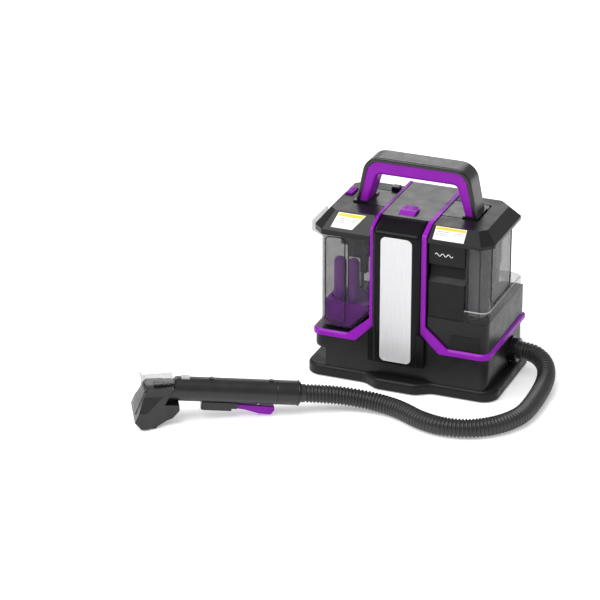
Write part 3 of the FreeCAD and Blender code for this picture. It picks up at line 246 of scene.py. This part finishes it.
INK = plastic("label_ink", (0.16, 0.16, 0.16), 0.6, grain=3000.0, depth=0.03)
WHITE = plastic("white_print", (0.75, 0.75, 0.75), 0.5, grain=3000.0, depth=0.03)

BY_SLOT = {
    "dark_plastic": DARK, "black_plastic": BLACK, "grey_plastic": GREY, "purple_plastic": PURPLE,
    "badge_metal": BADGE, "clear_plastic": SMOKE, "seal_rubber": RUBBER, "screw_steel": STEEL,
    "spring_steel": STEEL, "motor_steel": MOTOR, "board_green": BOARD, "hose_plastic": HOSE,
}
slots = {entry["node"]: entry["material_slot"] for entry in frame["record"]["subparts"]}
for name, node in nodes.items():
    for spot in node.material_slots:
        spot.material = BY_SLOT[slots[name]]
for name in ("base_plate", "right_tank_grip", "holder_panel"):
    nodes[name].material_slots[0].material = MATTE
nodes["column_front_cover"].material_slots[0].material = COLUMN
nodes["top_cover"].material_slots[0].material = COVER
nodes["left_standpipe"].material_slots[0].material = CUP
for name in ("wand_screws", "trigger_pin"):
    nodes[name].material_slots[0].material = BLACK
for name in ("wand_tube", "wand_sleeve", "nozzle_body"):
    nodes[name].material_slots[0].material = GRIP


# ------------------------------------------------------------------ pieces
def mesh_data(name, mesh):
    """The finished mesh of a bmesh, which it frees."""
    data = bpy.data.meshes.new(name)
    mesh.to_mesh(data)
    mesh.free()
    return data


def piece(name, mesh, material, body, smooth=True):
    obj = bpy.data.objects.new(name, mesh)
    bpy.context.scene.collection.objects.link(obj)
    mesh.materials.append(material)
    for face in mesh.polygons:
        face.use_smooth = smooth
    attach(obj, body)
    return obj


# the hose's route: the same points as in the CAD model
ROUTE = [(0.147, 0.038, 0.038), (0.165, 0.038, 0.038), (0.1815, 0.032, 0.0335),
         (0.1935, 0.021, 0.028), (0.2005, 0.0045, 0.0215), (0.2035, -0.017, 0.0165),
         (0.205, -0.045, 0.0142), (0.2065, -0.082, 0.014), (0.204, -0.124, 0.014),
         (0.184, -0.1632, 0.014), (0.1514, -0.1896, 0.014), (0.1105, -0.199, 0.014),
         (0.0715, -0.1895, 0.014), (0.038, -0.1695, 0.014), (0.005, -0.1625, 0.0155),
         (-0.027, -0.165, 0.0185), (-0.057, -0.175, 0.023)]
# along the wand: where the hose turns into its line, and the wand's rear end
HOSE_ENTRY, WAND_END = 0.2118, 0.1873
WAND_START = Vector((-0.2669, -0.2946, 0.050))
WAND_TURN = Matrix.Rotation(math.radians(29.6), 4, "Z") @ Matrix.Rotation(math.radians(6.1), 4, "Y")


def wand_point(x, y=0.0, z=0.0):
    return WAND_START + WAND_TURN @ Vector((x, y, z))


def spline_points(route):
    """Points along a smooth line whose control points are the route's."""
    curve = bpy.data.curves.new("route", "CURVE")
    curve.dimensions = "3D"
    curve.resolution_u = 24
    line = curve.splines.new("NURBS")
    line.points.add(len(route) - 1)
    for point, spot in zip(line.points, route):
        point.co = (*spot, 1)
    line.order_u = 3
    line.use_endpoint_u = True
    holder = bpy.data.objects.new("route", curve)
    bpy.context.scene.collection.objects.link(holder)
    bpy.context.view_layer.update()
    mesh = bpy.data.meshes.new_from_object(holder)
    points = [v.co.copy() for v in mesh.vertices]
    bpy.data.objects.remove(holder)
    bpy.data.meshes.remove(mesh)
    bpy.data.curves.remove(curve)
    return points


def even(points, step):
    """The same line as evenly spaced points."""
    lengths = [0.0]
    for a, b in zip(points, points[1:]):
        lengths.append(lengths[-1] + (b - a).length)
    count = max(2, round(lengths[-1] / step))
    spots, at = [], 0
    for i in range(count + 1):
        want = lengths[-1] * i / count
        while at < len(points) - 2 and lengths[at + 1] < want:
            at += 1
        part = (want - lengths[at]) / max(1e-9, lengths[at + 1] - lengths[at])
        spots.append(points[at].lerp(points[at + 1], part))
    return spots, lengths[-1]


def tube(spots, radius_at, around=36, closed=False):
    """A mesh tube whose radius follows the count along it: a ring, or a run with end caps."""
    mesh = bmesh.new()
    rings = []
    side, last = None, None
    count = len(spots)
    for i, spot in enumerate(spots):
        if closed:
            ahead = (spots[(i + 1) % count] - spots[i - 1]).normalized()
        else:
            ahead = (spots[min(i + 1, count - 1)] - spots[max(i - 1, 0)]).normalized()
        if side is None:
            side = ahead.orthogonal().normalized()
        else:
            side = last.rotation_difference(ahead) @ side
        last = ahead
        other = ahead.cross(side)
        radius = radius_at(i)
        rings.append([mesh.verts.new(spot + (side * math.cos(t) + other * math.sin(t)) * radius)
                      for t in (2 * math.pi * k / around for k in range(around))])
    for a, b in zip(rings, rings[1:] + rings[:1] if closed else rings[1:]):
        for k in range(around):
            mesh.faces.new((a[k], a[(k + 1) % around], b[(k + 1) % around], b[k]))
    if not closed:
        mesh.faces.new(rings[0][::-1])
        mesh.faces.new(rings[-1])
    bmesh.ops.recalc_face_normals(mesh, faces=mesh.faces)
    return mesh_data("tube", mesh)


def add_hose():
    route = [Vector(spot) for spot in ROUTE] + [wand_point(HOSE_ENTRY), wand_point(WAND_END)]
    line = spline_points(route)
    per_rib = len(RIB_PROFILE)
    spots, length = even(line, RIB_PITCH / per_rib)

    def radius(i):
        edge = min(i, len(spots) - 1 - i)
        return CUFF_RADIUS if edge < CUFF_RINGS else RIB_PROFILE[i % per_rib]
    hose = piece("ribbed_hose", tube(spots, radius), HOSE, "housing")
    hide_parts("hose_tube")


add_hose()


def patch(mesh, corners, u0, u1, v0, v1, lift, index, steps=6):
    """A small raised sheet over part of a four-cornered area; v runs from the top edge down."""
    top_left, top_right, low_right, low_left = corners
    normal = (low_left - top_left).cross(top_right - top_left).normalized()

    def spot(u, v, up):
        return top_left.lerp(top_right, u).lerp(low_left.lerp(low_right, u), v) + normal * up
    rows = [[mesh.verts.new(spot(u0 + (u1 - u0) * i / steps, v, lift)) for i in range(steps + 1)]
            for v in (v0, v1)]
    skirt = [[mesh.verts.new(spot(u0 + (u1 - u0) * i / steps, v, 0)) for i in range(steps + 1)]
             for v in (v0, v1)]
    faces = [(rows[0][i], rows[1][i], rows[1][i + 1], rows[0][i + 1]) for i in range(steps)]
    for top, low in zip(rows, skirt):
        faces += [(top[i], top[i + 1], low[i + 1], low[i]) for i in range(steps)]
    faces += [(skirt[0][i], skirt[0][i + 1], skirt[1][i + 1], skirt[1][i]) for i in range(steps)]
    for i in (0, steps):
        faces.append((rows[0][i], rows[1][i], skirt[1][i], skirt[0][i]))
    for corner_set in faces:
        mesh.faces.new(corner_set).material_index = index


def add_label(name, corners, body):
    """A blank care label: white, with a yellow head and faint grey lines."""
    corners = [Vector(c) / 1000 for c in corners]
    mesh = bmesh.new()
    patch(mesh, corners, 0, 1, 0, 1, PAPER_LIFT, 0)
    patch(mesh, corners, 0.02, 0.98, 0.04, 0.24, PRINT_LIFT, 1)
    for row, (start, end) in enumerate(((0.06, 0.5), (0.06, 0.42), (0.06, 0.46), (0.62, 0.92),
                                        (0.62, 0.84))):
        v = 0.36 + 0.13 * (row % 3)
        patch(mesh, corners, start, end, v, v + 0.035, PRINT_LIFT, 2)
    bmesh.ops.recalc_face_normals(mesh, faces=mesh.faces)
    data = mesh_data(name, mesh)
    piece(name, data, PAPER, body, smooth=False)
    data.materials.append(YELLOW)
    data.materials.append(INK)


add_label("left_label", [(-103, -56.3, 255.9), (-61, -56.3, 255.9), (-76, -74.2, 238.7),
                         (-109, -74.2, 238.7)], "left_tank_unit")
add_label("right_label", [(46.5, -55.4, 257.3), (93, -55.4, 257.3), (95, -76.2, 245.1),
                          (48, -76.2, 245.1)], "right_tank_unit")


def arc_points(centre, radius, start, end, steps=6):
    return [(centre[0] + radius * math.cos(math.radians(start + (end - start) * i / steps)),
             centre[1] + radius * math.sin(math.radians(start + (end - start) * i / steps)))
            for i in range(steps + 1)]


def rounded(x0, x1, z0, z1, radius):
    """A rounded rectangle's outline, as pairs."""
    return (arc_points((x1 - radius, z1 - radius), radius, 0, 90)
            + arc_points((x0 + radius, z1 - radius), radius, 90, 180)
            + arc_points((x0 + radius, z0 + radius), radius, 180, 270)
            + arc_points((x1 - radius, z0 + radius), radius, 270, 360))


def add_bead(name, spots, radius, material, body, closed=False):
    """A thin round bead along a line of points in millimetres."""
    data = tube([Vector(s) / 1000 for s in spots], lambda i: radius / 1000, BEAD_SIDES, closed)
    piece(name, data, material, body)


# the dark outlines on the clear tanks' walls
right_front = [(x, TANK_FRONT, z) for x, z in rounded(99.5, 119, 128, 238, 8)]
right_side = [(TANK_SIDE, y, z) for y, z in rounded(-54, 32, 143, 238, 9)]
left_front = [(x, TANK_FRONT, z) for x, z in rounded(-118, -88, 88, 222, 7)]
for name, spots, body in (("right_window_front", right_front, "right_tank_unit"),
                          ("right_window_side", right_side, "right_tank_unit"),
                          ("left_window_front", left_front, "left_tank_unit")):
    add_bead(name, spots, BEAD, RUBBER, body, True)
add_bead("left_tank_rib", [(-84, -66.5, z) for z in (122, 150, 180, 205, 226)], 1.1, RUBBER,
         "left_tank_unit")
# a bead along the clean tank's skirt rim: the rim is real, and its light grey colour is a painted
# highlight on the skirt's edge
add_bead("right_skirt_highlight_bead", [(x, SKIRT_FRONT, SKIRT_Z) for x in (98, 108, 121)]
         + [(121 + SKIRT_ROUND * math.sin(t), -63 - SKIRT_ROUND * math.cos(t), SKIRT_Z)
            for t in CORNER_ANGLES]
         + [(SKIRT_SIDE, y, SKIRT_Z) for y in (-60, -30, 0, 40, 72)],
         BEAD, RIM_HIGHLIGHT, "right_tank_unit")


def add_sheet(name, plan, low, high, thick, material, body):
    """An upright sheet that follows a line of plan points, with closed edges; millimetres."""
    mesh = bmesh.new()
    rows = []
    for i, (x, y) in enumerate(plan):
        before, after = Vector(plan[max(i - 1, 0)]), Vector(plan[min(i + 1, len(plan) - 1)])
        across = (after - before).normalized().orthogonal() * thick / 2
        rows.append([mesh.verts.new(Vector((x + s * across.x, y + s * across.y, z)) / 1000)
                     for s, z in ((-1, low), (1, low), (1, high), (-1, high))])
    for a, b in zip(rows, rows[1:]):
        for k in range(4):
            mesh.faces.new((a[k], a[(k + 1) % 4], b[(k + 1) % 4], b[k]))
    mesh.faces.new(rows[0])
    mesh.faces.new(rows[-1][::-1])
    bmesh.ops.recalc_face_normals(mesh, faces=mesh.faces)
    piece(name, mesh_data(name, mesh), material, body, smooth=False)


add_sheet("right_tank_baffle", [(99.5, -62), (116, -62)]
          + [(116 + 8 * math.sin(t), -54 - 8 * math.cos(t)) for t in CORNER_ANGLES]
          + [(124, -54), (124, -44)], 128, 237, 1.2, FROST, "right_tank_unit")
# the dark corner walls inside the clean tank, behind the grip and beside the column
add_sheet("grip_corner_lining", [(99.4, -68.8), (99.4, -54.6), (45, -54.6), (45, 59.4)],
          124.6, 238.5, 0.4, COLUMN, "right_tank_unit")

# a level mark of three small waves on the clean tank's front
wave = [(52 + 1.5 * i, -74.15, 221.5 + 2.2 * math.sin(i * 1.05)) for i in range(19)]
add_bead("level_wave", wave, 0.55, WHITE, "right_tank_unit")

# finger ribs on the power button and the tank latch
for name, body, x0, x1, ys, z in (
        ("button_ribs", "power_button", -15.5, 3.5, [-22 + 3.4 * i for i in range(4)], 262.6),
        ("latch_ribs", "left_latch", -114.5, -108.5, [12 + 3.6 * i for i in range(5)], 262.1)):
    mesh = bmesh.new()
    for y in ys:
        spots = [(x0, y, z), ((x0 + x1) / 2, y, z + RIB_RISE), (x1, y, z)]
        rib = tube([Vector(s) / 1000 for s in spots], lambda i: RIB_RADIUS, BEAD_SIDES)
        mesh.from_mesh(rib)
        bpy.data.meshes.remove(rib)
    piece(name, mesh_data(name, mesh), LILAC, body)


RING_ANGLES = [2 * math.pi * i / RING_STEPS for i in range(RING_STEPS)]


def ring_spots(x, radius):
    """A ring round the wand, in millimetres; x and radius are in metres."""
    return [tuple(1000 * v for v in wand_point(x, radius * math.cos(t), radius * math.sin(t)))
            for t in RING_ANGLES]


# the wand's seam and end bead, and the bead round the hose port
for name, x, radius, bead in (("wand_seam", 0.152, 0.0178, 0.35),
                              ("wand_end_bead", 0.1838, 0.0179, 1.0)):
    add_bead(name, ring_spots(x, radius), bead, BLACK, "housing", True)
port_ring = [(145.5, 38 + 17.2 * math.cos(t), 38 + 17.2 * math.sin(t)) for t in RING_ANGLES]
add_bead("port_bead", port_ring, BEAD, BLACK, "housing", True)

# ------------------------------------------------------------------ floor
floor_mesh = bpy.data.meshes.new("floor")
floor_mesh.from_pydata([(-30, -30, 0), (30, -30, 0), (30, 30, 0), (-30, 30, 0)], [], [(0, 1, 2, 3)])
floor = bpy.data.objects.new("floor", floor_mesh)
bpy.context.scene.collection.objects.link(floor)
FLOOR = plastic("pale_floor", (0.9, 0.9, 0.9), 0.6, grain=30.0, depth=0.02)
floor_bsdf = FLOOR.node_tree.nodes["Principled BSDF"]
floor_bsdf.inputs["Emission Color"].default_value = (1, 1, 1, 1)
floor_bsdf.inputs["Emission Strength"].default_value = 0.3
floor_mesh.materials.append(FLOOR)
